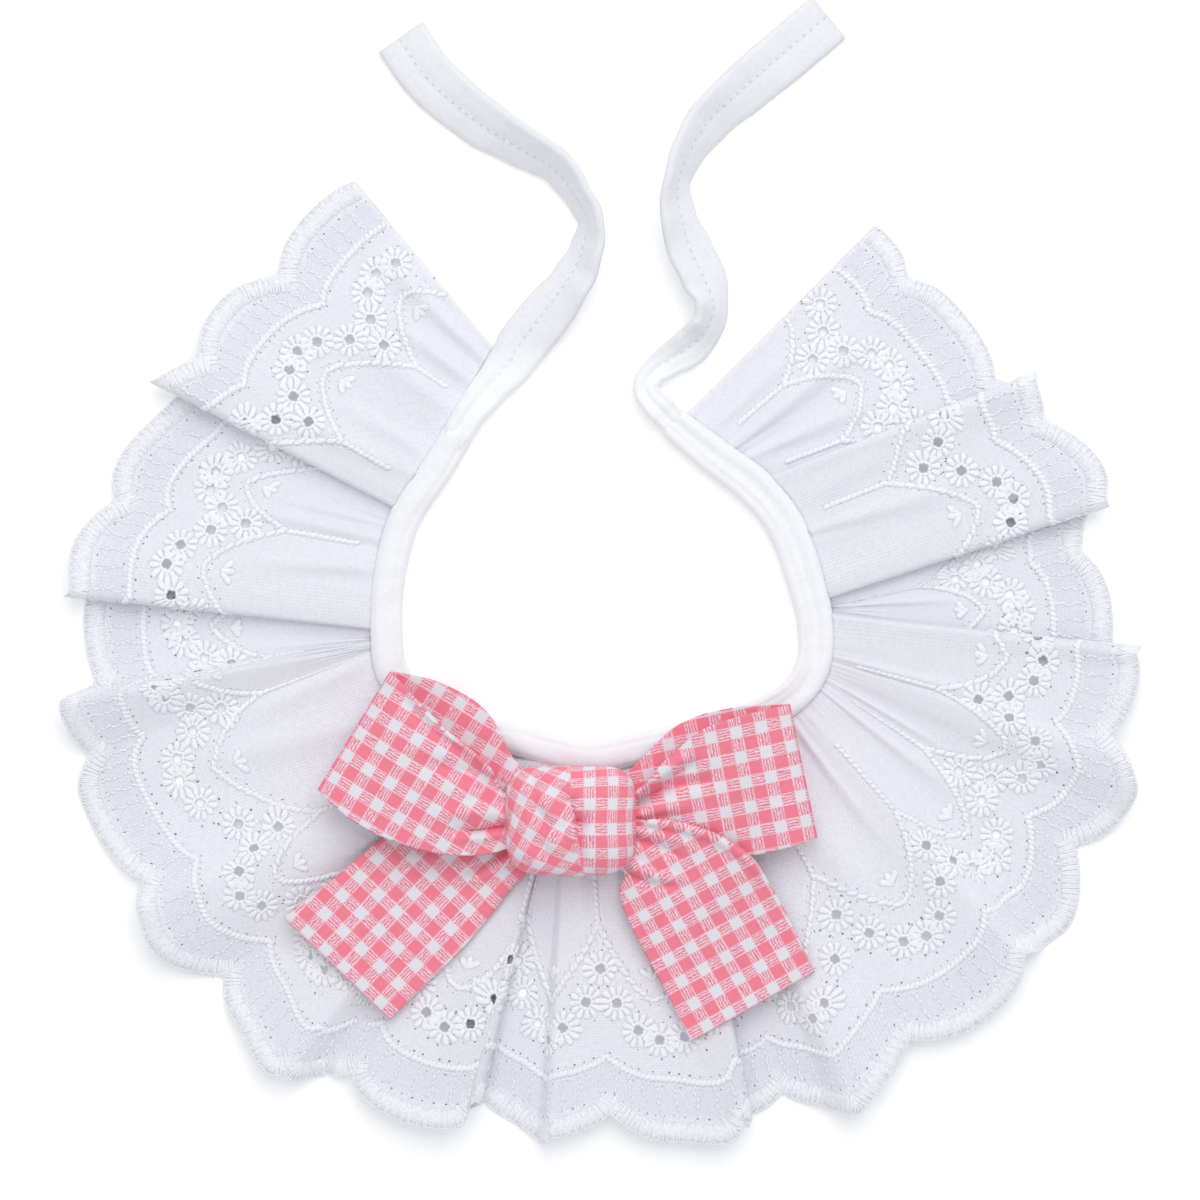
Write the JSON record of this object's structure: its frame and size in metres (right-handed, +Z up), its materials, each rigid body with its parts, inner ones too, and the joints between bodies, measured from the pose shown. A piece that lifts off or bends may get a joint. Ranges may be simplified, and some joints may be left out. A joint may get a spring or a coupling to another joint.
{
  "type": "lace collar",
  "caption": "Ruffled eyelet-lace collar with scalloped hem, bias-bound neck, two fabric ties and a gingham bow, laid flat.",
  "frame": {"origin": "on the surface that the collar lies on, under the middle of its outline", "axes": "+Z up, out of the surface; +Y from the bow towards the free ends of the ties; +X to the wearer's left as the picture shows it, to the right"},
  "size_m": [0.2514, 0.268, 0.0205],
  "materials": {
    "eyelet_lace": "white cotton lawn with white satin-stitch eyelet embroidery",
    "bias_tape": "white folded cotton bias tape, faint sheen",
    "gingham": "pink and white cotton gingham, matt"
  },
  "bodies": {
    "root": {"ruffle_left_shoulder": "eyelet_lace", "ruffle_left_front": "eyelet_lace", "ruffle_right_front": "eyelet_lace", "ruffle_right_shoulder": "eyelet_lace", "neck_binding": "bias_tape", "tie_left": "bias_tape", "tie_right": "bias_tape", "bow_loop_left": "gingham", "bow_loop_right": "gingham", "bow_tail_left": "gingham", "bow_tail_right": "gingham", "bow_knot": "gingham"}
  },
  "joints": []
}
